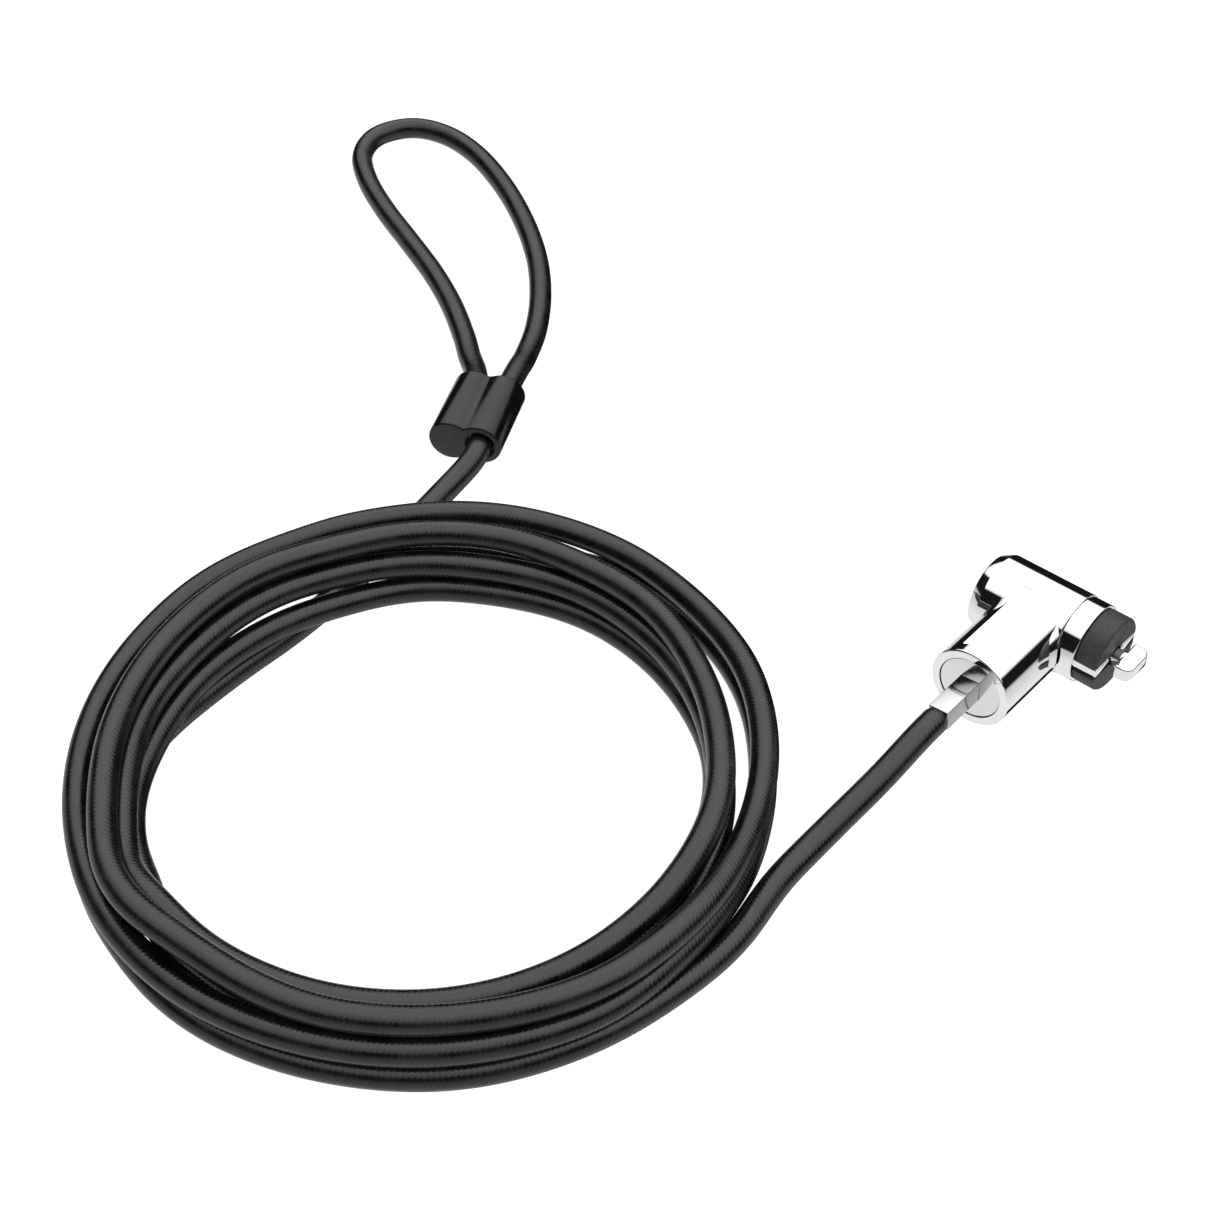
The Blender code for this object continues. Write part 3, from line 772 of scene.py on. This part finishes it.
ring_mesh = combine(
    "nose_ring_turned",
    lathe(
        "nose",
        [(9.35, 0), (9.35, 6.62)]
        + quarter(9.17, 6.8, 9.35, 6.62, 4)[::-1][1:]
        + quarter(6.16, 6.8, 6.02, 6.66, 4)
        + [(6.02, 0)],
        "X",
        N,
    ),
    *[
        (
            "UNION",
            block("prong", (8.5, 13.3), tuple(sorted((side * 2.0, side * 5.9))), (-0.8, 0.8), 0.22, 3),
        )
        for side in (-1, 1)
    ],
    ("DIFFERENCE", lathe("nose_bore", [(5, 0), (5, 1.75), (14, 1.75), (14, 0)], "X", 64)),
    *[("DIFFERENCE", rod_along_x("nose_hole", 0.8, 5, 8.4, 0, z)) for z in (4.3, -4.3)],
)
ring = finish_mesh("nose_ring_turned", ring_mesh, "head", chrome, slot="housing_chrome", replaces=("nose_ring",))
true_normals(ring_mesh, [("X", 6.8)])

for side, name in ((1, "upper"), (-1, "lower")):
    pad_mesh = combine(
        f"rubber_pad_{name}_moulded",
        lathe(
            "pad",
            [(13.3, 1.8), (13.3, 5.8)]
            + quarter(12.75, 6.4, 13.3, 5.8, 5)[::-1][1:]
            + quarter(9.62, 6.4, 9.45, 6.2, 3)
            + [(9.45, 1.8)],
            "X",
            N,
            ring=True,
        ),
        ("DIFFERENCE", block("half", (8, 15), (-9, 9), tuple(sorted((side * 1.05, -side * 9.0))))),
    )
    finish_mesh(
        f"rubber_pad_{name}_moulded",
        pad_mesh,
        "head",
        rubber,
        slot="pad_rubber",
        replaces=(f"rubber_pad_{name}",),
        angle=40,
    )

def t_bar_mesh():
    """The bar that goes into the slot: half-round outer corners, and softly rounded edges all round."""
    corner = 1.55
    outline = [(14.7, -3.3)]
    for k in range(9):
        a = math.radians(-90 + 90 * k / 8)
        outline.append((17.7 - corner + corner * math.cos(a), -3.3 + corner + corner * math.sin(a)))
    for k in range(9):
        a = math.radians(90 * k / 8)
        outline.append((17.7 - corner + corner * math.cos(a), 3.3 - corner + corner * math.sin(a)))
    outline.append((14.7, 3.3))
    bm = bmesh.new()
    rows = [[bm.verts.new(Vector((x, y, z))) for x, y in outline] for z in (-1.3, 1.3)]
    count = len(outline)
    for k in range(count):
        n = (k + 1) % count
        bm.faces.new((rows[0][k], rows[0][n], rows[1][n], rows[1][k]))
    bm.faces.new(rows[0])
    bm.faces.new(rows[1])
    bmesh.ops.recalc_face_normals(bm, faces=bm.faces)
    sharp = [e for e in bm.edges if e.calc_face_angle(0) > math.radians(40)]
    bmesh.ops.bevel(bm, geom=sharp, offset=0.42, segments=5, profile=0.5, affect="EDGES", clamp_overlap=True)
    for v in bm.verts:
        v.co = (CENTRE + v.co) * MM
    bmesh.ops.recalc_face_normals(bm, faces=bm.faces)
    mesh = bpy.data.meshes.new("t_bar")
    bm.to_mesh(mesh)
    bm.free()
    return mesh


# The spindle turns with the key: shaft, drive flange, dog and the T-bar that goes into the slot.
spindle_mesh = combine(
    "t_bar_spindle_turned",
    lathe("shaft", [(15.2, 0), (15.2, 1.4), (2.6, 1.4), (2.6, 3.8), (1.5, 3.8), (1.5, 0)], "X", 72),
    ("UNION", block("dog", (0.6, 1.9), (-3.5, 3.5), (-0.7, 0.7))),
    ("UNION", t_bar_mesh()),
)
spindle = finish_mesh(
    "t_bar_spindle_turned", spindle_mesh, "core", chrome, slot="spindle_chrome", replaces=("t_bar_spindle",)
)
true_normals(spindle_mesh, [("X", 1.4)])

# Swivel: the plated disc in the end of the cable barrel, and the square bar that holds the cable.
roll = Matrix.Rotation(math.radians(-6.0), 4, "Y")
disc_mesh = combine(
    "swivel_disc_turned",
    lathe(
        "disc",
        [(21.25, 0), (21.25, 5.3)] + quarter(21.15, 5.42, 21.25, 5.3, 3)[::-1][1:] + [(19.5, 5.42), (19.5, 0)],
        "-Y",
        N,
    ),
    ("DIFFERENCE", block("square_hole", (-1.78, 1.78), (-25, -17), (-1.78, 1.78), turn=roll)),
)
disc = finish_mesh("swivel_disc_turned", disc_mesh, "swivel", disc_metal, slot="disc_chrome", replaces=("swivel_disc",))
bar_mesh = combine(
    "cable_terminal_bar",
    block("bar", (-1.75, 1.75), (-29.9, -19.4), (-1.75, 1.75), 0.16, 3, turn=roll),
    ("UNION", lathe("stem", [(11.2, 0), (11.2, 1.5), (20.5, 1.5), (20.5, 0)], "-Y", 48)),
)
bar = finish_mesh("cable_terminal_bar", bar_mesh, "swivel", bar_chrome, slot="bar_chrome", replaces=("cable_terminal",))

# Key end: the core's face with its keyway, and the bezel around it.
core_mesh = combine(
    "lock_core_turned",
    lathe(
        "core",
        [(1.2, 2.9), (1.2, 3.8)] + quarter(-10.0, 3.8, -10.3, 3.5, 4) + [(-10.3, 0), (-9.3, 0), (-9.3, 2.9)],
        "X",
        96,
        ring=True,
    ),
    ("DIFFERENCE", block("keyway", (-11, -9), (-0.75, 0.75), (-2.3, 2.3), 0.1, 2)),
    ("DIFFERENCE", block("sidebar_slot", (-9.1, -1.0), (-0.65, 0.65), (2.2, 4.5))),
    ("DIFFERENCE", block("dog_slot", (0.3, 2.0), (-4.5, 4.5), (-1.0, 1.0))),
)
core = finish_mesh("lock_core_turned", core_mesh, "core", brass, slot="inner_brass", replaces=("lock_core",))
bezel_mesh = lathe(
    "rear_bezel_turned",
    [(-9.7, 4.1), (-9.7, 5.3)] + quarter(-10.2, 5.3, -10.5, 5.0, 5) + quarter(-10.35, 4.1, -10.5, 4.25, 3)[::-1],
    "X",
    N,
    ring=True,
)
bezel = finish_mesh("rear_bezel_turned", bezel_mesh, "head", chrome, slot="housing_chrome", replaces=("rear_bezel",))

# The pieces inside keep their CAD shapes.
for names, material in (
    (("cylinder_sleeve", "spindle_bushing", "swivel_bush"), brass),
    (tuple(f"disc_tumbler_{k}" for k in range(1, 6)), brass),
    (("dowel_pin_top", "dowel_pin_under", "bush_pin", "swivel_clip", "sidebar", "disc_spring"), steel),
):
    for name in names:
        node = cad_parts[name]
        node.data.materials.clear()
        node.data.materials.append(material)


# ---- floor, surroundings and light ----------------------------------------------------------
floor_mesh = bpy.data.meshes.new("floor")
bm = bmesh.new()
bmesh.ops.create_circle(bm, cap_ends=True, segments=64, radius=3.0)
bm.to_mesh(floor_mesh)
bm.free()
floor = bpy.data.objects.new("floor", floor_mesh)
scene.collection.objects.link(floor)
floor.location = (0, 0, -0.00002)
floor_material = bpy.data.materials.new("floor_white")
floor_material.use_nodes = True
shader = floor_material.node_tree.nodes["Principled BSDF"]
shader.inputs["Base Color"].default_value = (0.35, 0.35, 0.35, 1)
shader.inputs["Roughness"].default_value = 0.9
shader.inputs["Specular IOR Level"].default_value = 0.0
shader.inputs["Emission Color"].default_value = (1, 1, 1, 1)
shader.inputs["Emission Strength"].default_value = 0.95
floor_mesh.materials.append(floor_material)
floor.visible_glossy = False

# A white studio. Mirror-like surfaces see its dark horizon, its bright ceiling and one joint between two softboxes.
world = bpy.data.worlds.new("studio")
scene.world = world
world.use_nodes = True
tree = world.node_tree
tree.nodes.clear()
g = Graph(tree)
apart = g.node("ShaderNodeSeparateXYZ")
tree.links.new(g.node("ShaderNodeTexCoord").outputs["Generated"], apart.inputs[0])
x, y, z = apart.outputs
flat_length = g.math("SQRT", g.math("ADD", g.math("MULTIPLY", x, x), g.math("MULTIPLY", y, y)))
flat_length = g.math("MAXIMUM", flat_length, 0.001)
east = g.math("DIVIDE", x, flat_length)
north = g.math("DIVIDE", y, flat_length)
front = g.ramp(north, 0.25, -0.25)
west = g.ramp(east, 0.3, -0.5)
lower = g.mix(front, g.mix(west, -0.07, -0.24), 0.10)
upper = g.mix(front, 0.32, 0.60)
above_low = g.ramp(g.math("SUBTRACT", z, lower), -0.10, 0.03)
above_high = g.ramp(g.math("SUBTRACT", z, upper), -0.03, 0.04)
sky = g.ramp(g.math("SUBTRACT", z, upper), 0.0, 0.45, 0.80, 2.35, smooth=False)
ground = g.ramp(z, -0.65, -0.12, 0.84, 0.62, smooth=False)
value = g.mix(above_low, ground, 0.008)
value = g.mix(above_high, value, sky)
# dark card close behind the head
card = g.math("MULTIPLY", g.ramp(east, -0.52, -0.46), g.ramp(east, 0.30, 0.22))
card = g.math("MULTIPLY", card, g.ramp(north, 0.2, 0.5))
card = g.math("MULTIPLY", card, g.ramp(z, 0.10, 0.0))
value = g.mix(card, value, 0.008)
# joints between the softboxes overhead, as lines along X
for slope, half, depth in ((0.302, 0.030, 0.16), (-0.523, 0.02, 0.45)):
    offset = g.math("ABSOLUTE", g.math("SUBTRACT", g.math("DIVIDE", y, g.math("MAXIMUM", z, 0.05)), slope))
    line = g.math("MULTIPLY", g.ramp(offset, half, half * 0.4), g.ramp(z, 0.6, 0.65))
    value = g.math("MULTIPLY", value, g.mix(line, 1.0, depth))
path_kind = g.node("ShaderNodeLightPath")
glossy = g.math("MULTIPLY", path_kind.outputs["Is Glossy Ray"], g.math("SUBTRACT", 1.0, path_kind.outputs["Is Camera Ray"]))
strength = g.mix(glossy, 1.0, value)
background = g.node("ShaderNodeBackground")
background.inputs["Color"].default_value = (1, 1, 1, 1)
g.put(background.inputs["Strength"], strength)
output = g.node("ShaderNodeOutputWorld")
tree.links.new(background.outputs[0], output.inputs["Surface"])
